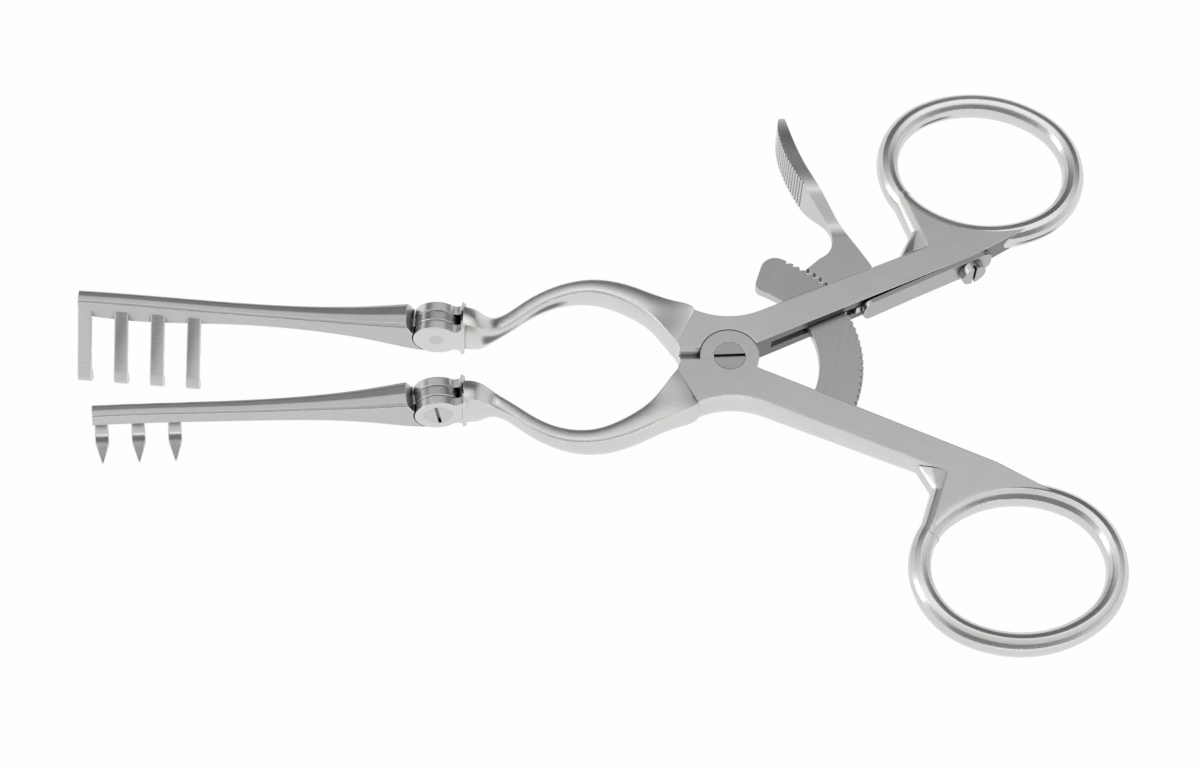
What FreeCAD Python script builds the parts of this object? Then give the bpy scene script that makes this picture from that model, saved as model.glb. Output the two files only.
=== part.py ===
import FreeCAD, Part
import math
import os
from FreeCAD import Vector

# Self retaining retractor with hinged arms, in millimetres.
# The origin lies on the pivot axis, on the flat underside of the joint.
# +X runs towards the finger rings, +Z is up, the prongs point down.
# The instrument is drawn partly open. Each arm is drawn as the upper (+Y)
# one and turned half a turn about the X axis for the lower one. Only the
# dip of the necks is downward in both.

# Joint and handles
JOINT_THICKNESS = 5.0
BOSS_RADIUS = 4.55
BOSS_GAP = 0.15
LAP_GAP = 0.03
STOP_NEAR = 0.6
STOP_FAR = 1.4
STOP_LENGTH = 4.5
STOP_INSIDE = 4.0
HANDLE_ANGLE = 25.0
WALL_OFFSET = 0.2
HANDLE_WIDTH = 5.0
HANDLE_END_WIDTH = 4.4
FLANK_BULGE = 0.75
HANDLE_START = 8.2
WAIST_RADIUS = 12.0
WAIST_SWEEP = 51.4
WAIST_END_WIDTH = 6.6
NECK_DIP = 0.9
HANDLE_TAPER_END = 46.0
HANDLE_END_THICKNESS = 4.0
BAR_FULL_END = 44.0
BAR_POINT_S = 60.5
BAR_POINT_T = 1.9

# Finger rings
RING_X = 41.9
RING_Y = 36.0
RING_HALF_LENGTH = 14.9
RING_HALF_WIDTH = 12.7
RING_TILT = -6.2
RING_TUBE_WIDTH = 3.4
RING_TUBE_HEIGHT = 4.0
RING_LEG_S = 37.5
RING_LEG_TOP = 15.5
RING_LEG_SPREAD = 1.5
RING_LEG_WIDTH = 3.2
RING_LEG_HEIGHT = 4.1
RING_FILLET = 3.4
RING_FACETS = 6

# Blade hinges
HINGE_X = -44.95
HINGE_Y = 6.75
BLADE_SPLAY = -3.75
FORK_WIDTH = 4.7
TONGUE_THICKNESS = 1.7
TONGUE_CLEARANCE = 0.08
EAR_RADIUS = 3.6
EAR_ANGLE = 56.0
NOTCH_REACH = 2.45
NOTCH_HALF_HEIGHT = 2.6
FLANGE_REACH = 3.75
FLANGE_HALF_HEIGHT = 3.95
SLOT_FLOOR = 4.0
SHOULDER_CLEARANCE = 0.2
HINGE_SCREW_HEAD_RADIUS = 2.28
HINGE_SCREW_HEAD_DEPTH = 0.7
HINGE_SCREW_RADIUS = 1.1
HINGE_SCREW_SLOT = 0.5
RUNNING_FIT = 0.05
SEAT_FIT = 0.01

# Pivot screw
PIVOT_HEAD_RADIUS = 2.4
PIVOT_HEAD_DEPTH = 1.3
PIVOT_RADIUS = 1.6
PIVOT_SLOT_WIDTH = 0.55
PIVOT_SLOT_DEPTH = 0.6

# Ratchet
RATCHET_INNER = 14.0
RATCHET_OUTER = 20.8
RATCHET_THICKNESS = 1.5
RATCHET_FREE_ANGLE = 71.5
RATCHET_TOOTH_START = 63.0
TOOTH_PITCH = 3.3
TOOTH_COUNT = 27
TOOTH_DEPTH = 0.55
TOOTH_LAND = 0.4
TOOTH_LEAN = 0.05
RATCHET_ROOT_DEPTH = 3.0
RATCHET_ROOT_SWEEP = 16.0
RATCHET_OUTER_CORNER = 2.4
RATCHET_INNER_CORNER = 1.3
RIVET_RADIUS = 0.6
RIVET_INSET = 2.0
PIN_COVER = 0.4
SLOT_CLEARANCE = 0.2
SLOT_START = 7.5
SLOT_INNER_END = 24.3
SLOT_OUTER_END = 29.6

# Release lever
LEVER_PIN_S = 22.3
LEVER_PIN_T = 2.9
LEVER_PIN_RADIUS = 0.8
LEVER_THICKNESS = 1.5
PAD_HALF_WIDTH = 3.4
PAD_TIP_HALF_WIDTH = 1.3
PAWL_CLEARANCE = 0.2
PAWL_TEETH = 4
PAWL_START_ANGLE = 52.6
SERRATIONS = 15
SERRATION_PITCH = 0.75
SERRATION_DEPTH = 0.32
SERRATION_FIRST = 4.0

# Leaf spring and its screw
SPRING_START = 23.4
SPRING_END = 46.4
SPRING_THICKNESS = 0.8
SPRING_HALF_WIDTH = 2.1
SPRING_LIFT = 0.35
SPRING_BOW = 0.35
SPRING_SEAT_LENGTH = 6.8
SPRING_SCREW_S = 42.5
SPRING_HEAD_RADIUS = 2.05
SPRING_HEAD_HEIGHT = 1.5
SPRING_SHANK_RADIUS = 1.0
SPRING_SHANK_DEPTH = 3.2
SPRING_SCREW_SLOT = 0.5
SPRING_SCREW_SLOT_DEPTH = 0.7

# Blades
BLADE_LENGTH = 55.4
BLADE_REST_LIFT = 2.7
LOWER_BLADE_SHORTER = 3.1
UPPER_BLADE_DEEPER = 1.0
UPPER_PRONG_LONGER = 2.6
BLADE_FACETS = 4
BLADE_CROWN = 0.1
SHOULDER_BEVEL = 1.1
PRONG_PITCH = 5.62
PRONG_WIDTH = 2.1
PRONG_THICKNESS = 1.1
PRONG_LEAN = 24.0
PRONG_STRAIGHT = 10.3
PRONG_HOOK_RADIUS = 3.3
PRONG_HOOK_TURN = 95.0
PRONG_POINT = 2.6
PRONG_GRIND_LENGTH = 4.8

# A length past the whole instrument, for cutting shapes
FAR = 120.0

MID = JOINT_THICKNESS / 2
X_AXIS = Vector(1, 0, 0)
Y_AXIS = Vector(0, 1, 0)
Z_AXIS = Vector(0, 0, 1)
ORIGIN = Vector(0, 0, 0)


def polar(radius, angle, z=0.0):
    """A point at a radius and an angle in degrees about the pivot."""
    a = math.radians(angle)
    return Vector(radius * math.cos(a), radius * math.sin(a), z)


def along_handle(s, t, z=0.0):
    """A point s along the upper handle and t out from its inner wall."""
    a = math.radians(HANDLE_ANGLE)
    out = t + WALL_OFFSET
    x = s * math.cos(a) - out * math.sin(a)
    y = s * math.sin(a) + out * math.cos(a)
    return Vector(x, y, z)


def polygon(points):
    """A closed wire through the points."""
    return Part.makePolygon(list(points) + [points[0]])


def slab(wire, low, high):
    """The solid between two heights over a flat wire drawn at z = 0."""
    face = Part.Face(wire)
    face.translate(Vector(0, 0, low))
    return face.extrude(Vector(0, 0, high - low))


def post(radius, low, high, at=ORIGIN):
    """A vertical cylinder."""
    return Part.makeCylinder(radius, high - low, Vector(at.x, at.y, low), Z_AXIS)


def turned_over(shape):
    """The shape of the lower arm's side, half a turn about the X axis."""
    copy = shape.copy()
    copy.rotate(Vector(0, 0, MID), X_AXIS, 180)
    return copy


def bulged(start, middle, end):
    """A smooth edge from start to end whose middle is at the given point."""
    curve = Part.BezierCurve()
    curve.setPoles([start, middle * 2 - (start + end) * 0.5, end])
    return curve.toShape()


def crowned_section(middle, across, width, height, crown, facets):
    """A section with upright sides, and narrow flats that make a crown above and below."""
    points = []
    for up in (1, -1):
        for i in range(facets + 1):
            a = math.pi * i / facets
            rise = up * (height / 2 - crown + crown * math.sin(a))
            points.append(middle + across * (up * width / 2 * math.cos(a)) + Z_AXIS * rise)
    return polygon(points)


def tube_section(middle, across, width, height):
    """A tube's section: upright sides with a half round above and below."""
    return crowned_section(middle, across, width, height, width / 2, RING_FACETS)


def forged_section(centre, heading, inner, outer, thickness, inner_bulge, outer_bulge, crown=0.0):
    """A four-sided section across an arm, with creases at its corners.

    inner and outer are the distances of the creases from the centre, each
    flank bulges past them, and the top and bottom may be crowned.
    """
    side = Vector(-math.sin(math.radians(heading)), math.cos(math.radians(heading)), 0)
    half = thickness / 2
    middle = Vector(centre.x, centre.y, MID)

    def at(across, up):
        return middle + side * across + Z_AXIS * up

    mean = (outer - inner) / 2
    corners = [at(-inner, -half), at(outer, -half), at(outer, half), at(-inner, half)]
    bulges = [
        at(mean, -half - crown),
        at(outer + outer_bulge, 0),
        at(mean, half + crown),
        at(-inner - inner_bulge, 0),
    ]
    edges = []
    for i in range(4):
        start = corners[i]
        end = corners[(i + 1) % 4]
        if bulges[i].distanceToPoint((start + end) * 0.5) < 1e-6:
            edges.append(Part.LineSegment(start, end).toShape())
        else:
            edges.append(bulged(start, bulges[i], end))
    return Part.Wire(edges)


def tapered(first, last, s):
    """A size of the handle at s, from its value at the joint to that at the ring."""
    return first + (last - first) * (s - HANDLE_START) / (HANDLE_TAPER_END - HANDLE_START)


def handle_pin(radius, s, t, below, above):
    """A vertical pin in the handle, longer by below and above than the handle is thick."""
    half = tapered(JOINT_THICKNESS, HANDLE_END_THICKNESS, s) / 2
    return post(radius, MID - half - below, MID + half + above, along_handle(s, t))


def handle_section(s):
    """The handle's section: a flat inner wall and a bulging outer flank."""
    width = tapered(HANDLE_WIDTH, HANDLE_END_WIDTH, s)
    thickness = tapered(JOINT_THICKNESS, HANDLE_END_THICKNESS, s)
    bulge = FLANK_BULGE * thickness / JOINT_THICKNESS
    centre = along_handle(s, width / 2)
    return forged_section(centre, HANDLE_ANGLE, width / 2, width / 2, thickness, 0, bulge)


def waist_centre():
    """The centre of the concave sweep between the handle and the curved arm."""
    return along_handle(HANDLE_START, HANDLE_WIDTH + WAIST_RADIUS)


def waist_section(angle, width, thickness, inner_bulge, outer_bulge, crown):
    """A section square to the waist's sweep, its outer crease on the sweep."""
    a = math.radians(angle)
    middle = waist_centre() + Vector(math.sin(a), -math.cos(a), 0) * (WAIST_RADIUS + width / 2)
    return forged_section(
        middle, angle, width / 2, width / 2, thickness, inner_bulge, outer_bulge, crown
    )


def swan_neck(dip):
    """The curved arm from the fork, over its crown, to the joint's waist.

    Its middle lies dip below the level of the joint.
    """
    # Each station: x, y, heading, width, thickness, share of the dip
    stations = [
        (HINGE_X + FLANGE_REACH, HINGE_Y, BLADE_SPLAY, FORK_WIDTH, 2 * FLANGE_HALF_HEIGHT, 0),
        (-39.2, 6.5, 2, 4.5, 7.1, 0.3),
        (-37.3, 6.6, 14, 3.7, 5.0, 0.8),
        (-35.5, 7.15, 28, 2.8, 3.3, 1),
        (-33.4, 8.4, 37, 2.45, 2.95, 1),
        (-30.7, 10.45, 35, 2.5, 3.1, 1),
        (-26.5, 12.65, 19, 2.7, 3.6, 1),
        (-22.0, 13.5, 0, 2.95, 4.3, 0.8),
        (-17.5, 12.7, -21, 3.5, 4.8, 0.5),
        (-13.6, 10.85, -34, 4.2, 4.95, 0.25),
    ]
    sections = []
    for x, y, heading, width, thickness, share in stations:
        bulge = 0.14 * min(width, thickness)
        crease = width / 2 - bulge
        height = thickness - 2 * bulge * 0.4
        centre = Vector(x, y, 0)
        section = forged_section(centre, heading, crease, crease, height, bulge, bulge, bulge * 0.4)
        section.translate(Vector(0, 0, -dip * share))
        sections.append(section)
    sections.append(waist_section(-39, 5.0, 4.98, 0.5, 0.7, 0.01))
    start_angle = HANDLE_ANGLE - WAIST_SWEEP
    sections.append(
        waist_section(start_angle, WAIST_END_WIDTH, JOINT_THICKNESS, 0, FLANK_BULGE, 0)
    )
    return Part.makeLoft(sections, True, False, False, 3)


def waist():
    """The joint's plate: a swept flank outside and a flat plate inside."""
    start_angle = HANDLE_ANGLE - WAIST_SWEEP
    band = Part.Face(waist_section(start_angle, 3.5, JOINT_THICKNESS, 0, FLANK_BULGE, 0))
    sweep = band.revolve(waist_centre(), Z_AXIS, WAIST_SWEEP)
    a = math.radians(start_angle)
    away = Vector(math.sin(a), -math.cos(a), 0)
    outer = waist_centre() + away * (WAIST_RADIUS + 1.5)
    inner = waist_centre() + away * (WAIST_RADIUS + WAIST_END_WIDTH)
    points = [
        outer,
        inner,
        Vector(-7.4, STOP_NEAR, 0),
        Vector(0, STOP_NEAR, 0),
        along_handle(BOSS_RADIUS, 0),
        along_handle(HANDLE_START, 0),
        along_handle(HANDLE_START, HANDLE_WIDTH - 1),
        Vector(0, 6, 0),
    ]
    return sweep.fuse(slab(polygon(points), 0, JOINT_THICKNESS))


def handle_bar():
    """The straight handle, with its flat top and bottom and sharp inner edges."""
    ends = [handle_section(HANDLE_START), handle_section(BAR_POINT_S + 1)]
    return Part.makeLoft(ends, True, True)


def ring_point(centre, radius, angle, z=0.0):
    """A point at an angle about a centre, both in the tilted ring's own directions."""
    tilt = math.radians(RING_TILT)
    a = math.radians(angle)
    x = centre.x + radius * math.cos(a)
    y = centre.y + radius * math.sin(a)
    return Vector(
        RING_X + x * math.cos(tilt) - y * math.sin(tilt),
        RING_Y + x * math.sin(tilt) + y * math.cos(tilt),
        z,
    )


def ring_arcs():
    """The oval as four arcs that run into each other: centre, radius, start and sweep."""
    long = RING_HALF_LENGTH
    wide = RING_HALF_WIDTH
    end_radius = (wide * wide / long + wide) / 2
    side_radius = (long * long + wide * wide - 2 * long * end_radius) / (2 * (wide - end_radius))
    along = long - end_radius
    back = side_radius - wide
    meet = math.degrees(math.atan2(back, along))
    return [
        (Vector(along, 0, 0), end_radius, -meet, 2 * meet),
        (Vector(0, -back, 0), side_radius, meet, 180 - 2 * meet),
        (Vector(-along, 0, 0), end_radius, 180 - meet, 2 * meet),
        (Vector(0, back, 0), side_radius, 180 + meet, 180 - 2 * meet),
    ]


def ring_path():
    """The closed mid-line of the finger ring."""
    edges = []
    for centre, radius, start, sweep in ring_arcs():
        points = [ring_point(centre, radius, start + sweep * share) for share in (0, 0.5, 1)]
        edges.append(Part.Arc(*points).toShape())
    return Part.Wire(edges)


def finger_ring():
    """The oval ring of an oval tube."""
    pieces = []
    for centre, radius, start, sweep in ring_arcs():
        middle = ring_point(centre, radius, start, MID)
        across = (middle - ring_point(centre, 0, 0, MID)).normalize()
        face = Part.Face(tube_section(middle, across, RING_TUBE_WIDTH, RING_TUBE_HEIGHT))
        pieces.append(face.revolve(ring_point(centre, 0, 0), Z_AXIS, sweep))
    return pieces[0].fuse(pieces[1:]).removeSplitter()


def bar_limit():
    """The plan shape that the bar keeps: it runs out to a point along the ring."""
    clear = 2 * HANDLE_WIDTH
    points = [
        along_handle(HANDLE_START, -clear),
        along_handle(BAR_FULL_END, -clear),
        along_handle(BAR_FULL_END, 0),
        along_handle(BAR_POINT_S, BAR_POINT_T),
        along_handle(BAR_POINT_S, clear),
        along_handle(HANDLE_START, clear),
    ]
    keep = slab(polygon(points), -1, JOINT_THICKNESS + 1)
    inside_ring = slab(ring_path(), -2, JOINT_THICKNESS + 2)
    return keep.cut(inside_ring)


def leg_middle(t):
    """How far along the handle the ring leg's mid-line is, t out from the wall."""
    foot = HANDLE_WIDTH / 2
    return RING_LEG_S + RING_LEG_SPREAD * (t - foot) / (RING_LEG_TOP - foot)


def ring_leg():
    """The ring's near side, which flares out where it runs down into the handle."""
    flank = tapered(HANDLE_WIDTH, HANDLE_END_WIDTH, RING_LEG_S)
    foot = along_handle(RING_LEG_S, flank, MID)
    way = along_handle(leg_middle(RING_LEG_TOP), RING_LEG_TOP, MID) - foot
    across = way.cross(Z_AXIS).normalize()
    sections = []
    for turn in (0, 30, 60, 90):
        a = math.radians(turn)
        t = flank + RING_FILLET * math.sin(a)
        width = RING_LEG_WIDTH + 2 * RING_FILLET * (1 - math.cos(math.radians(90) - a))
        middle = along_handle(leg_middle(t), t, MID)
        sections.append(leg_section(middle, across, width))
    sections.append(leg_section(foot + way, across, RING_LEG_WIDTH))
    return Part.makeLoft(sections, True, True)


def leg_section(middle, across, width):
    """A section of the ring's leg, always as high and as crowned."""
    return crowned_section(middle, across, width, RING_LEG_HEIGHT, RING_LEG_WIDTH / 2, RING_FACETS)


def ring_web():
    """The flat web in the corner between the leg, the handle and the ring."""
    foot = HANDLE_WIDTH / 2
    points = [
        along_handle(leg_middle(foot), foot),
        along_handle(leg_middle(RING_LEG_TOP), RING_LEG_TOP),
        along_handle(leg_middle(RING_LEG_TOP) + RING_HALF_LENGTH / 2, RING_LEG_TOP),
        along_handle(leg_middle(RING_LEG_TOP) + RING_HALF_LENGTH / 2, foot),
    ]
    web = slab(polygon(points), 0, JOINT_THICKNESS).common(between_flats())
    return web.cut(slab(ring_path(), -2, JOINT_THICKNESS + 2))


def between_flats():
    """All that lies between the tapered planes of the handle's top and bottom."""
    ends = []
    for s in (HANDLE_START, BAR_POINT_S):
        half = tapered(JOINT_THICKNESS, HANDLE_END_THICKNESS, s) / 2
        corners = [(-FAR, -half), (FAR, -half), (FAR, half), (-FAR, half)]
        ends.append(polygon([along_handle(s, t, MID + z) for t, z in corners]))
    return Part.makeLoft(ends, True, True)


def fork_profile():
    """The side view of the fork: a round ear, a notched neck and the flange."""
    a = math.radians(EAR_ANGLE)
    ear = Vector(EAR_RADIUS * math.cos(a), 0, EAR_RADIUS * math.sin(a))
    notch = Vector(NOTCH_REACH, 0, NOTCH_HALF_HEIGHT)
    flange = Vector(FLANGE_REACH, 0, FLANGE_HALF_HEIGHT)
    behind = Vector(FLANGE_REACH + 0.6, 0, FLANGE_HALF_HEIGHT - 0.5)

    def under(p):
        return Vector(p.x, 0, -p.z)

    tip = Vector(-EAR_RADIUS, 0, 0)
    edges = [
        Part.Arc(ear, tip, under(ear)).toShape(),
        Part.Arc(under(ear), under(notch), under(flange)).toShape(),
        Part.LineSegment(under(flange), under(behind)).toShape(),
        Part.LineSegment(under(behind), behind).toShape(),
        Part.LineSegment(behind, flange).toShape(),
        Part.Arc(flange, notch, ear).toShape(),
    ]
    return Part.Wire(edges)


def at_hinge(shape):
    """Places a shape drawn about the hinge pin on the upper arm."""
    copy = shape.copy()
    copy.rotate(ORIGIN, Z_AXIS, BLADE_SPLAY)
    copy.translate(Vector(HINGE_X, HINGE_Y, MID))
    return copy


def fork():
    """The two ears of the blade hinge, with the slot for the tongue and the screw's holes."""
    face = Part.Face(fork_profile())
    face.translate(Vector(0, -FORK_WIDTH / 2, 0))
    body = face.extrude(Vector(0, FORK_WIDTH, 0))
    return at_hinge(body)


def fork_cuts():
    """The tongue slot and the holes for the hinge screw."""
    half_slot = TONGUE_THICKNESS / 2 + TONGUE_CLEARANCE
    reach = EAR_RADIUS + 2
    height = 2 * FLANGE_HALF_HEIGHT + 2
    slot = Part.makeBox(
        reach + SLOT_FLOOR, 2 * half_slot, height, Vector(-reach, -half_slot, -height / 2)
    )
    hole = Part.makeCylinder(
        HINGE_SCREW_RADIUS + SEAT_FIT, FORK_WIDTH + 2, Vector(0, -FORK_WIDTH / 2 - 1, 0), Y_AXIS
    )
    head = Part.makeCylinder(
        HINGE_SCREW_HEAD_RADIUS + SEAT_FIT,
        HINGE_SCREW_HEAD_DEPTH + 1,
        Vector(0, FORK_WIDTH / 2 - HINGE_SCREW_HEAD_DEPTH, 0),
        Y_AXIS,
    )
    return at_hinge(slot.fuse([hole, head]))


def hinge_screw():
    """The slotted screw through the fork and the tongue, its end peened flush."""
    shank = Part.makeCylinder(HINGE_SCREW_RADIUS, FORK_WIDTH, Vector(0, -FORK_WIDTH / 2, 0), Y_AXIS)
    head = Part.makeCylinder(
        HINGE_SCREW_HEAD_RADIUS,
        HINGE_SCREW_HEAD_DEPTH - SEAT_FIT,
        Vector(0, FORK_WIDTH / 2 - HINGE_SCREW_HEAD_DEPTH + SEAT_FIT, 0),
        Y_AXIS,
    )
    slot = Part.makeBox(
        HINGE_SCREW_SLOT,
        HINGE_SCREW_SLOT,
        3 * HINGE_SCREW_HEAD_RADIUS,
        Vector(-HINGE_SCREW_SLOT / 2, FORK_WIDTH / 2 - HINGE_SCREW_SLOT, -1.5 * HINGE_SCREW_HEAD_RADIUS),
    )
    slot.rotate(ORIGIN, Y_AXIS, 8)
    return at_hinge(shank.fuse(head).cut(slot))


def handle_slot():
    """The slot through the handle for the ratchet and the lever."""
    low = MID - RATCHET_THICKNESS / 2 - SLOT_CLEARANCE
    high = MID + RATCHET_THICKNESS / 2 + SLOT_CLEARANCE
    inner = -1.0
    outer = HANDLE_WIDTH + FLANK_BULGE + 1.0
    points = [
        along_handle(SLOT_START, inner),
        along_handle(SLOT_INNER_END, inner),
        along_handle(SLOT_INNER_END, 1.2),
        along_handle(SLOT_OUTER_END, HANDLE_WIDTH),
        along_handle(SLOT_OUTER_END, outer),
        along_handle(SLOT_START, outer),
    ]
    return slab(polygon(points), low, high)


def arm(dip):
    """One arm, drawn as the upper one, without its slot for the ratchet."""
    body = handle_bar().common(bar_limit()).fuse([waist(), swan_neck(dip), fork()])
    body = body.fuse([finger_ring(), ring_leg(), ring_web()])

    # The lap joint: the top half gives way to the other arm's boss.
    lap = MID - LAP_GAP / 2
    body = body.fuse(post(BOSS_RADIUS, 0, lap))
    recess = post(BOSS_RADIUS + BOSS_GAP, lap, JOINT_THICKNESS + 1)
    stop = Part.makeBox(STOP_LENGTH, 2 * STOP_FAR, MID + 2, Vector(-STOP_LENGTH - STOP_INSIDE, -STOP_FAR, lap))
    below_stop = Part.makeBox(
        STOP_LENGTH, 2 * STOP_NEAR, MID + 2, Vector(-STOP_LENGTH - STOP_INSIDE, -STOP_NEAR, -2 + LAP_GAP)
    )
    body = body.cut([recess, stop, below_stop.cut(post(BOSS_RADIUS, -3, lap))])
    # Nothing of this arm lies on the other arm's side of the boss.
    other_side = Part.makeBox(12, 4, JOINT_THICKNESS + 2, Vector(-6, -4, -1))
    body = body.cut(other_side.cut(post(BOSS_RADIUS, -2, lap)))
    return body.cut(fork_cuts()).removeSplitter()


def upper_arm():
    """The arm with the slot, threaded for the pivot screw."""
    body = arm(NECK_DIP)
    holes = [
        post(PIVOT_RADIUS + SEAT_FIT, -1, JOINT_THICKNESS),
        handle_pin(LEVER_PIN_RADIUS + SEAT_FIT, LEVER_PIN_S, LEVER_PIN_T, 1, SEAT_FIT - PIN_COVER),
        spring_screw_hole(),
        handle_slot(),
    ]
    return body.cut(holes)


def lower_arm():
    """The arm under the screw's head, with a seat for the ratchet's root."""
    body = turned_over(arm(-NECK_DIP))
    holes = [
        post(PIVOT_RADIUS + RUNNING_FIT, -1, JOINT_THICKNESS + 1),
        post(PIVOT_HEAD_RADIUS + RUNNING_FIT, JOINT_THICKNESS - PIVOT_HEAD_DEPTH, JOINT_THICKNESS + 1),
        ratchet_sector(SEAT_FIT),
    ]
    holes.extend(rivet_posts(SEAT_FIT, 1))
    return body.cut(holes)


def pivot_screw():
    """The flush slotted screw that the lower arm turns about."""
    shank = post(PIVOT_RADIUS, 0, JOINT_THICKNESS)
    head_low = JOINT_THICKNESS - PIVOT_HEAD_DEPTH + RUNNING_FIT
    head = post(PIVOT_HEAD_RADIUS, head_low, JOINT_THICKNESS)
    slot = Part.makeBox(
        4 * PIVOT_HEAD_RADIUS,
        PIVOT_SLOT_WIDTH,
        PIVOT_SLOT_DEPTH,
        Vector(-2 * PIVOT_HEAD_RADIUS, -PIVOT_SLOT_WIDTH / 2, JOINT_THICKNESS - PIVOT_SLOT_DEPTH),
    )
    slot.rotate(ORIGIN, Z_AXIS, 2)
    return shank.fuse(head).cut(slot)


def ratchet_sector(grow=0.0):
    """The part of the ratchet's band that is set into the lower handle."""
    low = MID - RATCHET_THICKNESS / 2 - grow
    high = MID + RATCHET_THICKNESS / 2 + grow
    band = post(RATCHET_OUTER + grow, low, high).cut(post(RATCHET_INNER - grow, low - 1, high + 1))
    return band.common(below_lower_wall(HANDLE_WIDTH, RATCHET_ROOT_DEPTH + grow))


def rivet_posts(grow=0.0, past=0.0):
    """The two rivets, from the lower handle's underside through the ratchet's root."""
    posts = []
    for s in (RATCHET_INNER + RIVET_INSET, RATCHET_OUTER - RIVET_INSET):
        depth = RATCHET_ROOT_DEPTH / 2
        # Drawn for the upper arm and turned over, so its low end comes to the top.
        posts.append(turned_over(handle_pin(RIVET_RADIUS + grow, s, depth, grow - PIN_COVER, past)))
    return posts


def below_lower_wall(above, depth):
    """Everything from above the lower handle's inner wall to a depth inside it."""
    points = [
        along_handle(-FAR, -above),
        along_handle(FAR, -above),
        along_handle(FAR, depth),
        along_handle(-FAR, depth),
    ]
    return turned_over(slab(polygon(points), -1, JOINT_THICKNESS + 1))


def ratchet_arc():
    """The toothed arc, fixed in the lower handle and free at its other end."""
    teeth = []
    for i in range(TOOTH_COUNT):
        crest = RATCHET_TOOTH_START - i * TOOTH_PITCH
        land_end = crest - TOOTH_LAND * TOOTH_PITCH
        gullet = land_end - TOOTH_LEAN * TOOTH_PITCH
        teeth.append(polar(RATCHET_OUTER, crest))
        teeth.append(polar(RATCHET_OUTER, land_end))
        teeth.append(polar(RATCHET_OUTER - TOOTH_DEPTH, gullet))
    teeth.append(polar(RATCHET_OUTER, RATCHET_TOOTH_START - TOOTH_COUNT * TOOTH_PITCH))

    root = -HANDLE_ANGLE - RATCHET_ROOT_SWEEP
    free_outer = polar(RATCHET_OUTER, RATCHET_FREE_ANGLE)
    free_inner = polar(RATCHET_INNER, RATCHET_FREE_ANGLE)
    root_inner = polar(RATCHET_INNER, root)
    plain_middle = polar(RATCHET_OUTER, (RATCHET_FREE_ANGLE + RATCHET_TOOTH_START) / 2)
    inner_middle = polar(RATCHET_INNER, (RATCHET_FREE_ANGLE + root) / 2)
    straight = teeth + [polar(RATCHET_OUTER, root), root_inner]
    edges = [Part.Arc(free_outer, plain_middle, teeth[0]).toShape()]
    edges.extend(Part.LineSegment(a, b).toShape() for a, b in zip(straight, straight[1:]))
    edges.append(Part.Arc(root_inner, inner_middle, free_inner).toShape())
    edges.append(Part.LineSegment(free_inner, free_outer).toShape())
    plate = slab(Part.Wire(edges), MID - RATCHET_THICKNESS / 2, MID + RATCHET_THICKNESS / 2)
    plate = plate.common(below_lower_wall(FAR, RATCHET_ROOT_DEPTH))
    corners = ((RATCHET_OUTER, RATCHET_OUTER_CORNER), (RATCHET_INNER, RATCHET_INNER_CORNER))
    for radius, rounding in corners:
        corner = polar(radius, RATCHET_FREE_ANGLE, MID)
        upright = [e for e in plate.Edges if e.BoundBox.Center.distanceToPoint(corner) < 0.05]
        plate = plate.makeFillet(rounding, upright)
    return plate.cut(rivet_posts(SEAT_FIT, 1))


def spline(points):
    """A smooth edge through the points."""
    curve = Part.BSplineCurve()
    curve.interpolate(points)
    return curve.toShape()


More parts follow.
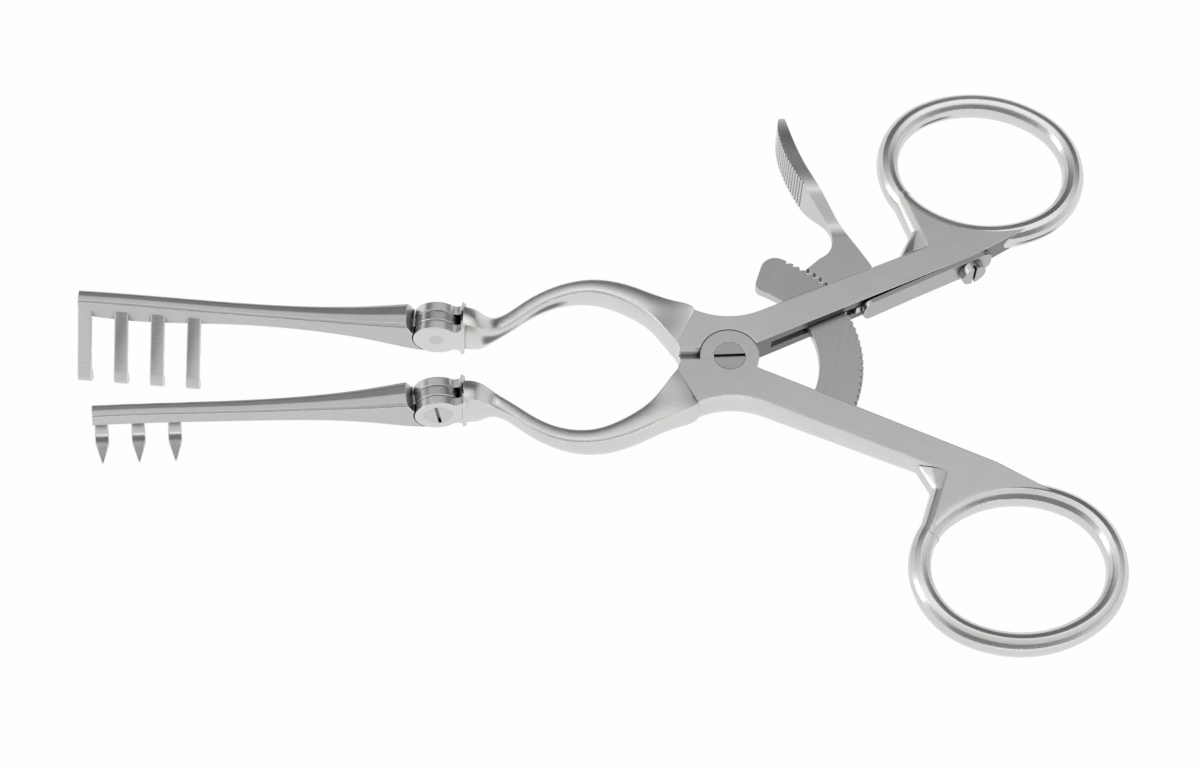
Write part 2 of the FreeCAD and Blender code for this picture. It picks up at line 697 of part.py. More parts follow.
def release_lever():
    """The lever: thumb pad, plate with the pawl's teeth, hub and tail."""
    pin = along_handle(LEVER_PIN_S, LEVER_PIN_T)
    back = [
        Vector(10.9, 45.2, 0),
        Vector(11.4, 42.0, 0),
        Vector(12.4, 38.0, 0),
        Vector(14.3, 33.0, 0),
        Vector(17.0, 27.8, 0),
        Vector(20.0, 22.8, 0),
        Vector(23.2, 17.4, 0),
    ]
    thumb = [
        Vector(9.9, 45.2, 0),
        Vector(9.5, 42.0, 0),
        Vector(10.1, 38.0, 0),
        Vector(12.0, 33.0, 0),
        Vector(14.9, 27.8, 0),
        Vector(17.0, 24.2, 0),
        Vector(17.1, 21.0, 0),
        Vector(15.2, 18.9, 0),
    ]
    pawl_radius = RATCHET_OUTER + PAWL_CLEARANCE
    pawl = [polar(pawl_radius, PAWL_START_ANGLE)]
    for i in range(PAWL_TEETH):
        a = PAWL_START_ANGLE - i * TOOTH_PITCH
        pawl.append(polar(pawl_radius + TOOTH_DEPTH, a - 0.15 * TOOTH_PITCH))
        pawl.append(polar(pawl_radius, a - TOOTH_PITCH))
    pawl.append(polar(pawl_radius + 0.1, PAWL_START_ANGLE - PAWL_TEETH * TOOTH_PITCH - 4))
    tail = [
        along_handle(22.3, 0.5),
        along_handle(22.5, -0.15),
        along_handle(23.6, -0.15),
        along_handle(23.9, 0.5),
        along_handle(25.1, 3.0),
        along_handle(27.9, 4.9),
    ]
    edges = [spline(back)]
    run = [back[-1]] + list(reversed(tail)) + list(reversed(pawl)) + [thumb[-1]]
    edges.extend(Part.LineSegment(a, b).toShape() for a, b in zip(run, run[1:]))
    edges.append(spline(list(reversed(thumb))))
    edges.append(Part.LineSegment(thumb[0], back[0]).toShape())
    body = slab(Part.Wire(edges), MID - PAD_HALF_WIDTH - 0.5, MID + PAD_HALF_WIDTH + 0.5)

    # Seen from the side the pad swells from the plate and narrows to its tip.
    half = LEVER_THICKNESS / 2
    swell = [
        Vector(0, 23.0, half),
        Vector(0, 25.5, half + 0.35),
        Vector(0, 30.0, PAD_HALF_WIDTH - 0.1),
        Vector(0, 35.0, PAD_HALF_WIDTH),
        Vector(0, 41.0, PAD_HALF_WIDTH - 0.6),
        Vector(0, 45.3, PAD_TIP_HALF_WIDTH),
    ]
    low = [Vector(0, p.y, -p.z) for p in swell]
    foot = Vector(0, 5, half)
    side = Part.Wire(
        [
            Part.LineSegment(foot, swell[0]).toShape(),
            spline(swell),
            Part.LineSegment(swell[-1], low[-1]).toShape(),
            spline(list(reversed(low))),
            Part.LineSegment(low[0], Vector(0, 5, -half)).toShape(),
            Part.LineSegment(Vector(0, 5, -half), foot).toShape(),
        ]
    )
    side.translate(Vector(0, 0, MID))
    body = body.common(Part.Face(side).extrude(Vector(40, 0, 0)))
    body = body.cut(post(LEVER_PIN_RADIUS + RUNNING_FIT, -1, JOINT_THICKNESS + 1, pin))
    return body.cut(serrations(spline(thumb)))


def serrations(thumb_edge):
    """The cross grooves of the thumb pad."""
    grooves = []
    reach = PAD_HALF_WIDTH + 1
    for i in range(SERRATIONS):
        at = thumb_edge.getParameterByLength(SERRATION_FIRST + i * SERRATION_PITCH)
        centre = thumb_edge.valueAt(at)
        along = thumb_edge.tangentAt(at)
        inward = Vector(-along.y, along.x, 0)
        wide = SERRATION_PITCH * 0.33
        groove = polygon(
            [
                centre - along * wide - inward * 0.1,
                centre + inward * SERRATION_DEPTH,
                centre + along * wide - inward * 0.1,
            ]
        )
        grooves.append(slab(groove, MID - reach, MID + reach))
    return grooves


def lever_pin():
    """The pin that the lever turns on, put in from the handle's underside."""
    return handle_pin(LEVER_PIN_RADIUS, LEVER_PIN_S, LEVER_PIN_T, 0, -PIN_COVER)


def spring_screw_axis(t):
    """A point on the spring screw's axis, t out from the inner wall."""
    return along_handle(SPRING_SCREW_S, t, MID)


def outward():
    """The direction from the inner wall of the upper handle into the handle."""
    a = math.radians(HANDLE_ANGLE)
    return Vector(-math.sin(a), math.cos(a), 0)


def spring_screw_hole():
    """The threaded hole for the spring's screw."""
    return Part.makeCylinder(
        SPRING_SHANK_RADIUS + SEAT_FIT, SPRING_SHANK_DEPTH + 1.1, spring_screw_axis(-1), outward()
    )


def spring_screw():
    """The slotted cheese-head screw on the leaf spring."""
    seat = -SPRING_THICKNESS - 2 * SEAT_FIT
    head = Part.makeCylinder(
        SPRING_HEAD_RADIUS, SPRING_HEAD_HEIGHT, spring_screw_axis(seat - SPRING_HEAD_HEIGHT), outward()
    )
    shank = Part.makeCylinder(
        SPRING_SHANK_RADIUS, SPRING_SHANK_DEPTH - seat, spring_screw_axis(seat), outward()
    )
    slot = Part.makeBox(
        SPRING_SCREW_SLOT,
        SPRING_SCREW_SLOT_DEPTH,
        3 * SPRING_HEAD_RADIUS,
        Vector(-SPRING_SCREW_SLOT / 2, 0, -1.5 * SPRING_HEAD_RADIUS),
    )
    slot.rotate(ORIGIN, Z_AXIS, HANDLE_ANGLE)
    slot.translate(spring_screw_axis(seat - SPRING_HEAD_HEIGHT))
    return head.fuse(shank).cut(slot)


def leaf_spring():
    """The flat spring: seated by its screw, standing off the wall at the lever's tail."""
    seat_end = SPRING_END - SPRING_SEAT_LENGTH
    wall_side = [
        (SPRING_END, SEAT_FIT),
        (seat_end, SEAT_FIT),
        ((seat_end + SPRING_START) / 2, SEAT_FIT + SPRING_LIFT * SPRING_BOW),
        (SPRING_START, SEAT_FIT + SPRING_LIFT),
    ]
    points = [along_handle(s, -off) for s, off in wall_side]
    points.extend(along_handle(s, -off - SPRING_THICKNESS) for s, off in reversed(wall_side))
    strip = slab(polygon(points), MID - SPRING_HALF_WIDTH, MID + SPRING_HALF_WIDTH)
    # Both ends are rounded, seen square to the wall.
    for s in (SPRING_START, SPRING_END):
        corner = [e for e in strip.Edges if upright_to_wall(e, s)]
        strip = strip.makeFillet(SPRING_HALF_WIDTH * 0.7, corner)
    return strip.cut(spring_screw_hole())


def upright_to_wall(edge, s):
    """True for the four short corner edges of the spring's end at s."""
    if edge.Length > 1.2 or edge.Length < 0.5:
        return False
    here = along_handle(s, -0.5 * SPRING_THICKNESS, edge.BoundBox.Center.z)
    return edge.BoundBox.Center.distanceToPoint(here) < 1.2


def blade_section(u, width, top, bottom):
    """A blade's section: flat sides from bottom to top, lightly crowned past both."""
    crown = BLADE_CROWN * width
    middle = Vector(-u, 0, (top + bottom) / 2)
    return crowned_section(middle, Y_AXIS, width, top - bottom + 2 * crown, crown, BLADE_FACETS)


def prong(straight):
    """One hooked prong, hanging from z = 0, its hook turned towards +Y."""
    lean = math.radians(PRONG_LEAN)
    down = Vector(0, -math.sin(lean), -math.cos(lean))
    out = Vector(0, math.cos(lean), -math.sin(lean))
    half = PRONG_THICKNESS / 2
    knee = down * straight
    centre = knee + out * PRONG_HOOK_RADIUS

    def on_hook(radius, turn):
        a = math.radians(turn)
        return centre + out * (-radius * math.cos(a)) + down * (radius * math.sin(a))

    end_turn = math.radians(PRONG_HOOK_TURN)
    tip_way = down * math.cos(end_turn) + out * math.sin(end_turn)
    big = PRONG_HOOK_RADIUS + half
    small = PRONG_HOOK_RADIUS - half
    outer_end = on_hook(big, PRONG_HOOK_TURN)
    inner_end = on_hook(small, PRONG_HOOK_TURN)
    point = on_hook(PRONG_HOOK_RADIUS, PRONG_HOOK_TURN) + tip_way * PRONG_POINT
    wire = Part.Wire(
        [
            Part.LineSegment(ORIGIN - out * half, knee - out * half).toShape(),
            Part.Arc(knee - out * half, on_hook(big, PRONG_HOOK_TURN / 2), outer_end).toShape(),
            Part.LineSegment(outer_end, point).toShape(),
            Part.LineSegment(point, inner_end).toShape(),
            Part.Arc(inner_end, on_hook(small, PRONG_HOOK_TURN / 2), knee + out * half).toShape(),
            Part.LineSegment(knee + out * half, ORIGIN + out * half).toShape(),
            Part.LineSegment(ORIGIN + out * half, ORIGIN - out * half).toShape(),
        ]
    )
    face = Part.Face(wire)
    face.translate(Vector(-PRONG_WIDTH / 2, 0, 0))
    body = face.extrude(Vector(PRONG_WIDTH, 0, 0))
    # Both edges of the hook are ground away to a point.
    back = point.y - PRONG_GRIND_LENGTH
    front = point.y + 0.3
    ground = []
    for sign in (-1, 1):
        wedge = polygon(
            [
                Vector(0, front, 0),
                Vector(sign * PRONG_WIDTH * 0.75, back, 0),
                Vector(sign * PRONG_WIDTH * 2, back, 0),
                Vector(sign * PRONG_WIDTH * 2, front, 0),
            ]
        )
        ground.append(slab(wedge, knee.z - 2 * PRONG_HOOK_RADIUS, knee.z + PRONG_HOOK_RADIUS))
    return body.cut(ground)


def blade(length, prongs, deeper, straight):
    """A blade about its hinge pin, along -X, its hooks towards +Y.

    deeper is added to its depth at the prongs, and straight is the length
    of a prong above its hook.
    """
    # Each station: distance from the pin, width, top, bottom, share of deeper
    stations = [
        (1.3, FORK_WIDTH, 2.75, -3.25, 0),
        (4.5, 4.4, 2.6, -3.1, 0),
        (12.8, 3.3, 1.5, -2.05, 0),
        (20.5, 2.6, 1.0, -1.7, 0.05),
        (28.0, 2.3, 0.8, -1.6, 0.25),
        (length * 0.62, 2.2, 0.8, -1.55, 0.8),
        (length, 2.1, 0.85, -1.5, 1.0),
    ]
    sections = []
    for u, width, top, bottom, share in stations:
        sections.append(blade_section(u, width, top, bottom - deeper * share))
    body = Part.makeLoft(sections, True, False, False, 3)
    swing = EAR_RADIUS + SHOULDER_CLEARANCE
    body = body.cut(Part.makeCylinder(swing, FORK_WIDTH + 2, Vector(0, -FORK_WIDTH / 2 - 1, 0), Y_AXIS))
    # The shoulder is bevelled above the ears.
    bevel = polygon(
        [
            Vector(-swing - SHOULDER_BEVEL, 0, swing + 1),
            Vector(-swing - SHOULDER_BEVEL, 0, 2.6 * SHOULDER_BEVEL),
            Vector(-swing, 0, SHOULDER_BEVEL),
            Vector(0, 0, SHOULDER_BEVEL),
            Vector(0, 0, swing + 1),
        ]
    )
    bevel.translate(Vector(0, -FORK_WIDTH, 0))
    body = body.cut(Part.Face(bevel).extrude(Vector(0, 2 * FORK_WIDTH, 0)))
    tongue = Part.makeCylinder(EAR_RADIUS, TONGUE_THICKNESS, Vector(0, -TONGUE_THICKNESS / 2, 0), Y_AXIS)
    neck = Part.makeBox(
        EAR_RADIUS + 1.5, TONGUE_THICKNESS, 2 * SHOULDER_BEVEL,
        Vector(-EAR_RADIUS - 1.5, -TONGUE_THICKNESS / 2, -SHOULDER_BEVEL),
    )
    pieces = [tongue, neck]
    for i in range(prongs):
        hook = prong(straight)
        hook.translate(Vector(-length + PRONG_WIDTH / 2 + i * PRONG_PITCH, 0, 0))
        pieces.append(hook)
    body = body.fuse(pieces).removeSplitter()
    bore = Part.makeCylinder(
        HINGE_SCREW_RADIUS + RUNNING_FIT, FORK_WIDTH, Vector(0, -FORK_WIDTH / 2, 0), Y_AXIS
    )
    return body.cut(bore)


def four_prong_blade():
    """The upper arm's blade."""
    shape = blade(BLADE_LENGTH, 4, UPPER_BLADE_DEEPER, PRONG_STRAIGHT + UPPER_PRONG_LONGER)
    shape.rotate(ORIGIN, Y_AXIS, BLADE_REST_LIFT)
    return at_hinge(shape)


def three_prong_blade():
    """The lower arm's blade, shorter by half a prong's pitch."""
    shape = blade(BLADE_LENGTH - LOWER_BLADE_SHORTER, 3, 0, PRONG_STRAIGHT)
    shape = shape.mirror(ORIGIN, Y_AXIS)
    shape.rotate(ORIGIN, Y_AXIS, BLADE_REST_LIFT)
    shape.rotate(ORIGIN, Z_AXIS, -BLADE_SPLAY)
    shape.translate(Vector(HINGE_X, -HINGE_Y, MID))
    return shape


def main():
    """Writes each piece to its own file."""
    os.makedirs("parts", exist_ok=True)
    pieces = {
        "lower_arm": lower_arm(),
        "upper_arm": upper_arm(),
        "pivot_screw": pivot_screw(),
        "ratchet_arc": ratchet_arc(),
        "ratchet_rivets": Part.makeCompound(rivet_posts()),
        "release_lever": release_lever(),
        "lever_pin": lever_pin(),
        "leaf_spring": leaf_spring(),
        "spring_screw": spring_screw(),
        "upper_hinge_screw": hinge_screw(),
        "lower_hinge_screw": turned_over(hinge_screw()),
        "four_prong_blade": four_prong_blade(),
        "three_prong_blade": three_prong_blade(),
    }
    for name, shape in pieces.items():
        print(name, "solids", len(shape.Solids), "valid", shape.isValid(), "volume", round(shape.Volume, 1))
        shape.exportStep("parts/" + name + ".step")


main()
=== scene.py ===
"""Looks, light and camera of a self retaining retractor in ground and satin stainless steel."""

import logging
import math
from abc import ABC, abstractmethod
from dataclasses import dataclass
from enum import Enum
from typing import ClassVar

import bpy
from mathutils import Matrix, Vector


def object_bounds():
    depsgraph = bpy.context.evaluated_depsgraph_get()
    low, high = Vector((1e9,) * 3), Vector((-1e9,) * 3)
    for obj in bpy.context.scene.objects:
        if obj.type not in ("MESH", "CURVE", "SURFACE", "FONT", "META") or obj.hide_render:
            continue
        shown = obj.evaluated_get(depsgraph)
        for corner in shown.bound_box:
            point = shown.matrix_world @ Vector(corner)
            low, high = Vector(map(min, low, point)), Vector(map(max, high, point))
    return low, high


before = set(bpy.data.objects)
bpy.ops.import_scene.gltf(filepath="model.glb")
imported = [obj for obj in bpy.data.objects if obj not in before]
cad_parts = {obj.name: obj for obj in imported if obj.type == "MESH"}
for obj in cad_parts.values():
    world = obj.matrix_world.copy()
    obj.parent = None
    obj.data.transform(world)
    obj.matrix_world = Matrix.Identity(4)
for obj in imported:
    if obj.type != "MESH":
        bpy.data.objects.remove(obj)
CAD_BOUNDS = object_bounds()

MM = 0.001
LOG = logging.getLogger("retractor")

# Half the angle between the two handles, in degrees: the ground flats are finished along them
HANDLE_ANGLE = 25.0
# Most values of a noise texture lie between these two
NOISE_LOW = 0.3
NOISE_HIGH = 0.7
# How squarely a face looks the wanted way where a mask starts, and where it is full
FLAT_FACING = (0.955, 0.995)
# Of the wall that gets painted shade
SHADED_WALL_FACING = (0.97, 0.995)
# Of the rounded edges that get a painted highlight
EDGE_HIGHLIGHT_FACING = (0.995, 0.85)


class Lay(Enum):
    """The direction in which the grinding lines of a flat face run, in degrees from +X."""

    ALONG_UPPER_HANDLE = HANDLE_ANGLE
    ALONG_LOWER_HANDLE = -HANDLE_ANGLE
    ALONG_BLADE = 0.0
    ALONG_LEVER = -62.0
    ACROSS_RATCHET = 78.0


def linear_colour(hex_value: str) -> tuple[float, float, float, float]:
    """Turns an sRGB hex colour into linear values.

    Args:
        hex_value: The colour as six hexadecimal digits.

    Returns:
        Red, green, blue and an alpha of 1, linear.
    """
    channels = [int(hex_value[i : i + 2], 16) / 255 for i in (0, 2, 4)]
    linear = [c / 12.92 if c <= 0.04045 else ((c + 0.055) / 1.055) ** 2.4 for c in channels]
    return (linear[0], linear[1], linear[2], 1.0)


def add_node(
    tree: bpy.types.NodeTree,
    kind: str,
    settings: dict[str, object] | None = None,
    values: dict[object, object] | None = None,
    links: dict[object, bpy.types.NodeSocket] | None = None,
) -> bpy.types.Node:
    """Adds a node with its settings, its fixed input values and its links.

    Args:
        tree: The node tree to add it to.
        kind: Blender's name for the node type.
        settings: Attributes of the node itself.
        values: Input sockets, by name or number, and what they are set to.
        links: Input sockets, by name or number, and the output that feeds each.

    Returns:
        The new node.
    """
    node = tree.nodes.new(kind)
    for name, value in (settings or {}).items():
        setattr(node, name, value)
    for socket, value in (values or {}).items():
        node.inputs[socket].default_value = value
    for socket, output in (links or {}).items():
        tree.links.new(output, node.inputs[socket])
    return node


@dataclass(frozen=True)
class SteelFinish:
    """Martensitic stainless steel, forged or cut, ground on its flats and satin on its flanks.

    The grinding lines give the flats a fine matt streak, the flanks show soft bright
    and dark bands, every edge is broken and painted paler as a thin highlight, and gaps
    get painted shade.
    """

    name: str
    flat_colour: str
    flank_colour: str
    flat_roughness: float
    flank_roughness: float
    lay: Lay
    edge_radius_mm: float = 0.16
    # A paler colour painted on the rounded edges as a thin highlight, and its largest share
    edge_highlight_colour: str = "F2F2F0"
    edge_highlight_share: float = 0.75
    # More samples give the rounded edges less grain
    edge_samples: int = 12
    # The finger ring's tube begins this far out from the pivot, square to the handle, and behind it
    tube_from_mm: float | None = None
    tube_behind_mm: float = 27.0
    tube_radius_mm: float = 0.5
    # The stretch of the neck, in front of the pivot, that is dressed by hand, with softer edges
    neck_mm: tuple[float, float] | None = None
    neck_blend_mm: float = 2.0
    neck_radius_mm: float = 0.6
    # The way that the inner wall faces which is given painted shade, darker than the ground faces
    shaded_wall_way: tuple[float, float, float] | None = None
    shaded_wall_colour: str = "6E6E6C"
    # Painted shade in gaps and slots: how far it looks for nearby faces
    crevice_shade_reach_mm: float = 1.1
    # How open a gap is where its painted shade is darkest and where it keeps its full tone, and its darkest
    # tone
    crevice_shade_closed: float = 0.22
    crevice_shade_open: float = 0.88
    crevice_shade_tone: float = 0.05
    # A real belt leaves lines about 0.02 mm apart: drawn coarser so that they show
    line_spacing_mm: float = 0.11
    line_length_mm: float = 9.0
    line_height_mm: float = 0.02
    line_depth: float = 0.05
    line_tones: tuple[float, float] = (0.94, 1.05)
    mottle_size_mm: float = 7.0
    mottle_tones: tuple[float, float] = (0.975, 1.02)
    roughness_wander: float = 0.06

    def build(self) -> bpy.types.Material:
        """Makes the material.

        Returns:
            The steel as a node material.
        """
        material = bpy.data.materials.new(self.name)
        material.use_nodes = True
        tree = material.node_tree
        tree.nodes.clear()
        place = add_node(tree, "ShaderNodeTexCoord")
        lines = self._lines(tree, place)
        flat = self._flat_mask(tree, place)
        broken = add_node(
            tree, "ShaderNodeBevel", {"samples": self.edge_samples}, {"Radius": self.edge_radius_mm * MM}
        )
        if self.tube_from_mm is not None and self.neck_mm is not None:
            tree.links.new(self._radius(tree, place).outputs[0], broken.inputs["Radius"])
        # Where the painted edge highlight goes
        edge = self._edge_highlight_mask(tree, broken)
        mottle = add_node(
            tree,
            "ShaderNodeTexNoise",
            values={"Scale": 1 / (self.mottle_size_mm * MM), "Detail": 3.0, "Roughness": 0.55},
            links={"Vector": place.outputs["Object"]},
        )
        tone = self._colour(tree, flat, lines, mottle, edge)
        # Painted shade on the inner wall, and in gaps and slots
        colour = self._paint_crevice_shade(tree, self._paint_wall_shade(tree, place, tone))
        roughness = self._roughness(tree, flat, lines, mottle)
        depth = add_node(
            tree,
            "ShaderNodeMath",
            {"operation": "MULTIPLY"},
            {1: self.line_depth},
            {0: flat.outputs[0]},
        )
        bump = add_node(
            tree,
            "ShaderNodeBump",
            values={"Distance": self.line_height_mm * MM},
            links={
                "Height": lines.outputs["Fac"],
                "Strength": depth.outputs[0],
                "Normal": broken.outputs[0],
            },
        )
        steel = add_node(
            tree,
            "ShaderNodeBsdfPrincipled",
            values={"Metallic": 1.0},
            links={
                "Base Color": colour.outputs["Vector"],
                "Roughness": roughness.outputs[0],
                "Normal": bump.outputs[0],
            },
        )
        add_node(tree, "ShaderNodeOutputMaterial", links={"Surface": steel.outputs[0]})
        return material

    def _lines(self, tree: bpy.types.NodeTree, place: bpy.types.Node) -> bpy.types.Node:
        """Noise drawn out along the lay, in millimetres across and along.

        Args:
            tree: The material's tree.
            place: The texture coordinates.

        Returns:
            The noise node.
        """
        turned = add_node(
            tree,
            "ShaderNodeMapping",
            {"vector_type": "TEXTURE"},
            {"Rotation": (0.0, 0.0, math.radians(self.lay.value))},
            {"Vector": place.outputs["Object"]},
        )
        across = 1 / (self.line_spacing_mm * MM)
        drawn = add_node(
            tree,
            "ShaderNodeMapping",
            values={"Scale": (1 / (self.line_length_mm * MM), across, across)},
            links={"Vector": turned.outputs[0]},
        )
        return add_node(
            tree,
            "ShaderNodeTexNoise",
            values={"Scale": 1.0, "Detail": 2.0, "Roughness": 0.6},
            links={"Vector": drawn.outputs[0]},
        )

    def _radius(self, tree: bpy.types.NodeTree, place: bpy.types.Node) -> bpy.types.Node:
        """The radius of the broken edges, larger on the finger ring and on the neck, which are round.

        Args:
            tree: The material's tree.
            place: The texture coordinates.

        Returns:
            The node whose first output is the radius.
        """
        turn = math.radians(self.lay.value)
        side = math.copysign(1.0, turn)
        outward = (-side * math.sin(turn), side * math.cos(turn), 0.0)
        out = add_node(
            tree,
            "ShaderNodeVectorMath",
            {"operation": "DOT_PRODUCT"},
            {1: outward},
            {0: place.outputs["Object"]},
        )
        split = add_node(tree, "ShaderNodeSeparateXYZ", links={0: place.outputs["Object"]})
        behind = add_node(
            tree,
            "ShaderNodeMath",
            {"operation": "GREATER_THAN"},
            {1: self.tube_behind_mm * MM},
            {0: split.outputs["X"]},
        )
        tube = add_node(
            tree,
            "ShaderNodeMath",
            {"operation": "GREATER_THAN"},
            {1: self.tube_from_mm * MM},
            {0: out.outputs["Value"]},
        )
        both = add_node(
            tree,
            "ShaderNodeMath",
            {"operation": "MULTIPLY"},
            links={0: behind.outputs[0], 1: tube.outputs[0]},
        )
        near, far = self.neck_mm
        soft = add_node(
            tree,
            "ShaderNodeMapRange",
            values={
                "From Min": -(near + self.neck_blend_mm) * MM,
                "From Max": -near * MM,
                "To Min": self.neck_radius_mm * MM,
                "To Max": self.edge_radius_mm * MM,
            },
            links={"Value": split.outputs["X"]},
        )
        neck = add_node(
            tree,
            "ShaderNodeMapRange",
            values={
                "From Min": -far * MM,
                "From Max": -(far - self.neck_blend_mm) * MM,
                "To Min": self.edge_radius_mm * MM,
            },
            links={"Value": split.outputs["X"], "To Max": soft.outputs[0]},
        )
        return add_node(
            tree,
            "ShaderNodeMapRange",
            values={"To Max": self.tube_radius_mm * MM},
            links={"Value": both.outputs[0], "To Min": neck.outputs[0]},
        )

    def _paint_wall_shade(
        self, tree: bpy.types.NodeTree, place: bpy.types.Node, colour: bpy.types.Node
    ) -> bpy.types.NodeSocket:
        """Paints shade on the inner wall that faces the given way, if there is one.

        Args:
            tree: The material's tree.
            place: The texture coordinates.
            colour: The mix node with the tone of the steel.

        Returns:
            The socket with the colour.
        """
        if self.shaded_wall_way is None:
            return colour.outputs["Result"]
        facing = add_node(
            tree,
            "ShaderNodeVectorMath",
            {"operation": "DOT_PRODUCT"},
            {1: self.shaded_wall_way},
            {0: place.outputs["Normal"]},
        )
        share = add_node(
            tree,
            "ShaderNodeMapRange",
            values={"From Min": SHADED_WALL_FACING[0], "From Max": SHADED_WALL_FACING[1]},
            links={"Value": facing.outputs["Value"]},
        )
        wall_shade = add_node(
            tree,
            "ShaderNodeMix",
            {"data_type": "RGBA"},
            {7: linear_colour(self.shaded_wall_colour)},
            {0: share.outputs[0], 6: colour.outputs["Result"]},
        )
        return wall_shade.outputs["Result"]

    def _paint_crevice_shade(self, tree: bpy.types.NodeTree, colour: bpy.types.NodeSocket) -> bpy.types.Node:
        """Paints shade into gaps and slots, darkest where the least around them is open.

        Args:
            tree: The material's tree.
            colour: The socket with the colour of the open faces.

        Returns:
            The node whose Vector output is the colour.
        """
        opening = add_node(
            tree,
            "ShaderNodeAmbientOcclusion",
            {"samples": 6},
            {"Distance": self.crevice_shade_reach_mm * MM},
        )
        level = add_node(
            tree,
            "ShaderNodeMapRange",
            {"interpolation_type": "SMOOTHSTEP"},
            {"From Min": self.crevice_shade_closed, "From Max": self.crevice_shade_open, "To Min": self.crevice_shade_tone},
            {"Value": opening.outputs["AO"]},
        )
        return add_node(
            tree,
            "ShaderNodeVectorMath",
            {"operation": "SCALE"},
            links={0: colour, "Scale": level.outputs[0]},
        )

    @staticmethod
    def _flat_mask(tree: bpy.types.NodeTree, place: bpy.types.Node) -> bpy.types.Node:
        """One on faces that lie flat, zero on flanks.

        Args:
            tree: The material's tree.
            place: The texture coordinates.

        Returns:
            The node whose first output is the mask.
        """
        split = add_node(tree, "ShaderNodeSeparateXYZ", links={0: place.outputs["Normal"]})
        height = add_node(tree, "ShaderNodeMath", {"operation": "ABSOLUTE"}, links={0: split.outputs["Z"]})
        return add_node(
            tree,
            "ShaderNodeMapRange",
            {"interpolation_type": "SMOOTHSTEP"},
            {"From Min": FLAT_FACING[0], "From Max": FLAT_FACING[1]},
            {"Value": height.outputs[0]},
        )

    def _edge_highlight_mask(self, tree: bpy.types.NodeTree, broken: bpy.types.Node) -> bpy.types.Node:
        """Where the painted highlight goes: one where the broken edge turns away from the face, zero on the
        face.

        Args:
            tree: The material's tree.
            broken: The bevel node.

        Returns:
            The node whose first output is the mask.
        """
        face = add_node(tree, "ShaderNodeNewGeometry")
        likeness = add_node(
            tree,
            "ShaderNodeVectorMath",
            {"operation": "DOT_PRODUCT"},
            links={0: face.outputs["Normal"], 1: broken.outputs[0]},
        )
        return add_node(
            tree,
            "ShaderNodeMapRange",
            values={
                "From Min": EDGE_HIGHLIGHT_FACING[0],
                "From Max": EDGE_HIGHLIGHT_FACING[1],
                "To Max": self.edge_highlight_share,
            },
            links={"Value": likeness.outputs["Value"]},
        )

    def _colour(
        self,
        tree: bpy.types.NodeTree,
        flat: bpy.types.Node,
        lines: bpy.types.Node,
        mottle: bpy.types.Node,
        edge: bpy.types.Node,
    ) -> bpy.types.Node:
        """The steel's tone: flats, flanks, faint lines and a painted highlight on the broken edges.

        Args:
            tree: The material's tree.
            flat: The mask of the flat faces.
            lines: The grinding lines.
            mottle: A slow variation of tone.
            edge: The mask of the painted highlight on the broken edges.

        Returns:
            A mix node whose Result is the colour.
        """
        tone = add_node(
            tree,
            "ShaderNodeMix",
            {"data_type": "RGBA"},
            {6: linear_colour(self.flank_colour), 7: linear_colour(self.flat_colour)},
            {0: flat.outputs[0]},
        )
        streak = add_node(
            tree,
            "ShaderNodeMapRange",
            values={
                "From Min": NOISE_LOW,
                "From Max": NOISE_HIGH,
                "To Min": self.line_tones[0],
                "To Max": self.line_tones[1],
            },
            links={"Value": lines.outputs["Fac"]},
        )
        cloud = add_node(
            tree,
            "ShaderNodeMapRange",
            values={
                "From Min": NOISE_LOW,
                "From Max": NOISE_HIGH,
                "To Min": self.mottle_tones[0],
                "To Max": self.mottle_tones[1],
            },
            links={"Value": mottle.outputs["Fac"]},
        )
        both = add_node(
            tree,
            "ShaderNodeMath",
            {"operation": "MULTIPLY"},
            links={0: streak.outputs[0], 1: cloud.outputs[0]},
        )
        varied = add_node(
            tree,
            "ShaderNodeVectorMath",
            {"operation": "SCALE"},
            links={0: tone.outputs["Result"], "Scale": both.outputs[0]},
        )
        return add_node(
            tree,
            "ShaderNodeMix",
            {"data_type": "RGBA"},
            {7: linear_colour(self.edge_highlight_colour)},
            {0: edge.outputs[0], 6: varied.outputs[0]},
        )

    def _roughness(
        self,
        tree: bpy.types.NodeTree,
        flat: bpy.types.Node,
        lines: bpy.types.Node,
        mottle: bpy.types.Node,
    ) -> bpy.types.Node:
        """How matt the steel is: the ground flats more than the satin flanks.

        Args:
            tree: The material's tree.
            flat: The mask of the flat faces.
            lines: The grinding lines.
            mottle: A slow variation.

        Returns:
            The node whose first output is the roughness.
        """
        base = add_node(
            tree,
            "ShaderNodeMapRange",
            values={"To Min": self.flank_roughness, "To Max": self.flat_roughness},
            links={"Value": flat.outputs[0]},
        )
        wander = add_node(
            tree,
            "ShaderNodeMath",
            {"operation": "ADD"},
            links={0: lines.outputs["Fac"], 1: mottle.outputs["Fac"]},
        )
        return add_node(
            tree,
            "ShaderNodeMath",
            {"operation": "MULTIPLY_ADD"},
            {1: self.roughness_wander},
            {0: wander.outputs[0], 2: base.outputs[0]},
        )


def turned_screw_steel(edge_mm: float) -> SteelFinish:
    """The finish of the pivot screw and the hinge screws, turned and then ground with the arms.

    Args:
        edge_mm: The radius of their broken edges, in millimetres.

    Returns:
        A steel a little darker than the arms, so that the heads and slots can be told from them.
    """
    return SteelFinish("turned_screw_steel", "B4B4B2", "C8C8C6", 0.30, 0.22, Lay.ALONG_BLADE, edge_mm)


